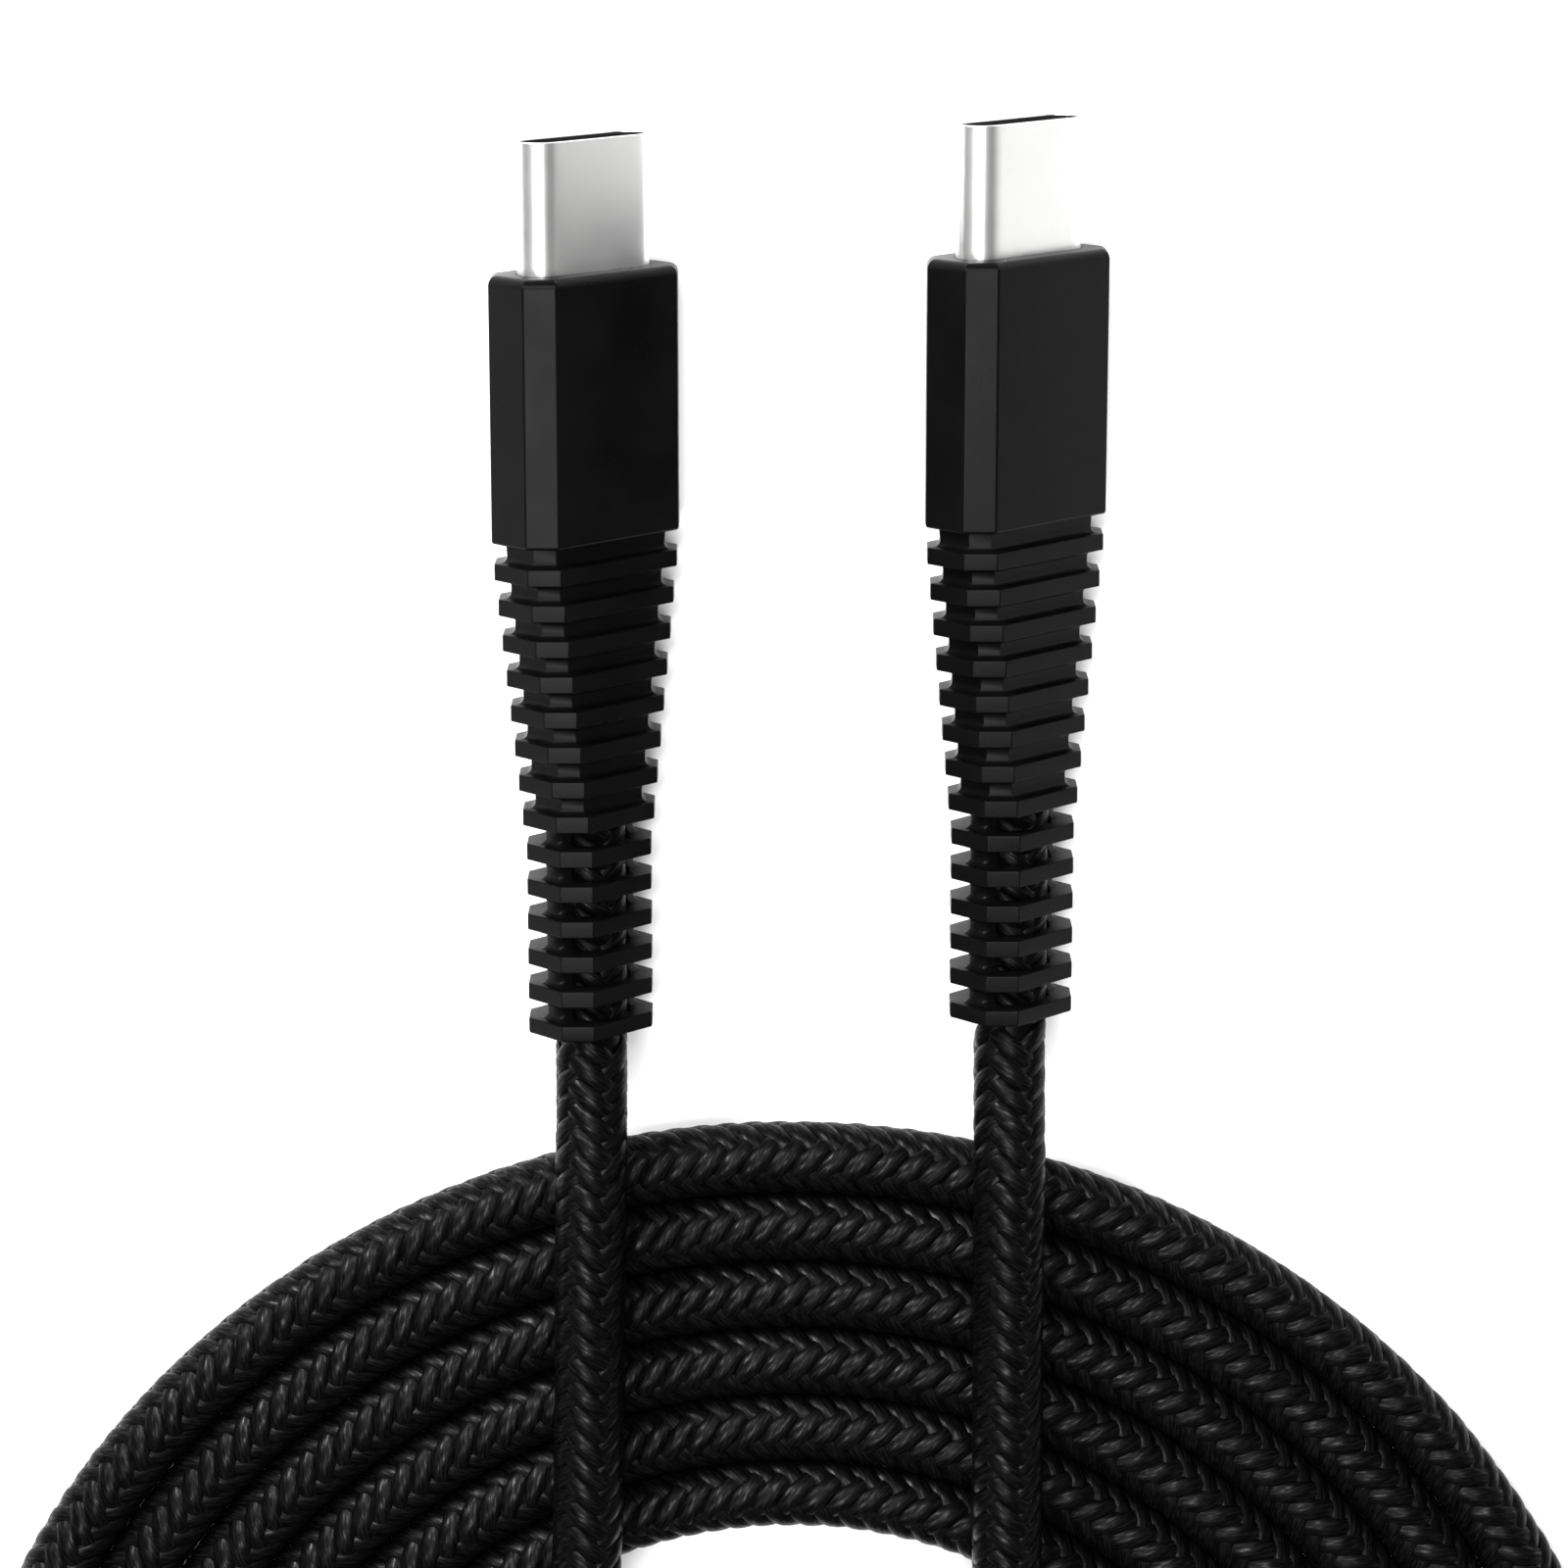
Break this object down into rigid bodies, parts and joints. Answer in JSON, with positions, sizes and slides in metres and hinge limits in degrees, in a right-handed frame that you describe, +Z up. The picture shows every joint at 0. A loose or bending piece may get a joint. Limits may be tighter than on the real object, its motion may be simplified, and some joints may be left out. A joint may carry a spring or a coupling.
{
  "type": "charging cable",
  "caption": "Charging cable with a reversible metal-shelled plug at each end, ribbed flexible strain reliefs and a woven round cord wound into a flat coil.",
  "frame": {"origin": "on the table, under the middle of the two plugs", "axes": "+X to the right, +Y the way the plug tips point, +Z up from the table"},
  "size_m": [0.0952, 0.1487, 0.0094],
  "materials": {
    "plated_steel": "bright nickel plate",
    "insert_plastic": "matte black",
    "gold_plate": "gold plated",
    "spring_steel": "plain",
    "board_laminate": "green solder mask",
    "chip_resin": "matte black",
    "tinned_can": "tinned",
    "wire_jackets": "insulated wires",
    "ferrule_brass": "plain",
    "woven_jacket": "black woven yarn",
    "cord_body": "black woven yarn over filler and wires",
    "housing_plastic": "fine black grain",
    "relief_rubber": "satin black"
  },
  "bodies": {
    "cord": {"cord_coil": "cord_body", "cord_lead_left": "cord_body", "cord_lead_right": "cord_body"},
    "left_plug": {"left_usb_shell": "plated_steel", "left_contact_insert": "insert_plastic", "left_contacts_upper": "gold_plate", "left_contacts_lower": "gold_plate", "left_latch_plate": "spring_steel", "left_ground_spring_upper": "spring_steel", "left_ground_spring_lower": "spring_steel", "left_circuit_board": "board_laminate", "left_marker_chip": "chip_resin", "left_shield_can": "tinned_can", "left_wire_bundle": "wire_jackets", "left_crimp_ferrule": "ferrule_brass", "left_cord_end": "woven_jacket", "left_housing": "housing_plastic", "left_strain_relief": "relief_rubber"},
    "right_plug": {"right_usb_shell": "plated_steel", "right_contact_insert": "insert_plastic", "right_contacts_upper": "gold_plate", "right_contacts_lower": "gold_plate", "right_latch_plate": "spring_steel", "right_ground_spring_upper": "spring_steel", "right_ground_spring_lower": "spring_steel", "right_circuit_board": "board_laminate", "right_marker_chip": "chip_resin", "right_shield_can": "tinned_can", "right_wire_bundle": "wire_jackets", "right_crimp_ferrule": "ferrule_brass", "right_cord_end": "woven_jacket", "right_housing": "housing_plastic", "right_strain_relief": "relief_rubber"}
  },
  "joints": [
    {"name": "left_plug_bend", "type": "hinge", "parent": "cord", "child": "left_plug", "pos_m": [-0.01097, -0.01665, 0.0047], "axis": [0, 0, 1], "range_deg": [-7, 25], "stiffness_Nm_per_rad": 0.02, "deforming": ["left_strain_relief", "left_cord_end"]},
    {"name": "right_plug_bend", "type": "hinge", "parent": "cord", "child": "right_plug", "pos_m": [0.01097, -0.01581, 0.0047], "axis": [0, 0, 1], "range_deg": [-25, 7], "stiffness_Nm_per_rad": 0.02, "deforming": ["right_strain_relief", "right_cord_end"]}
  ]
}
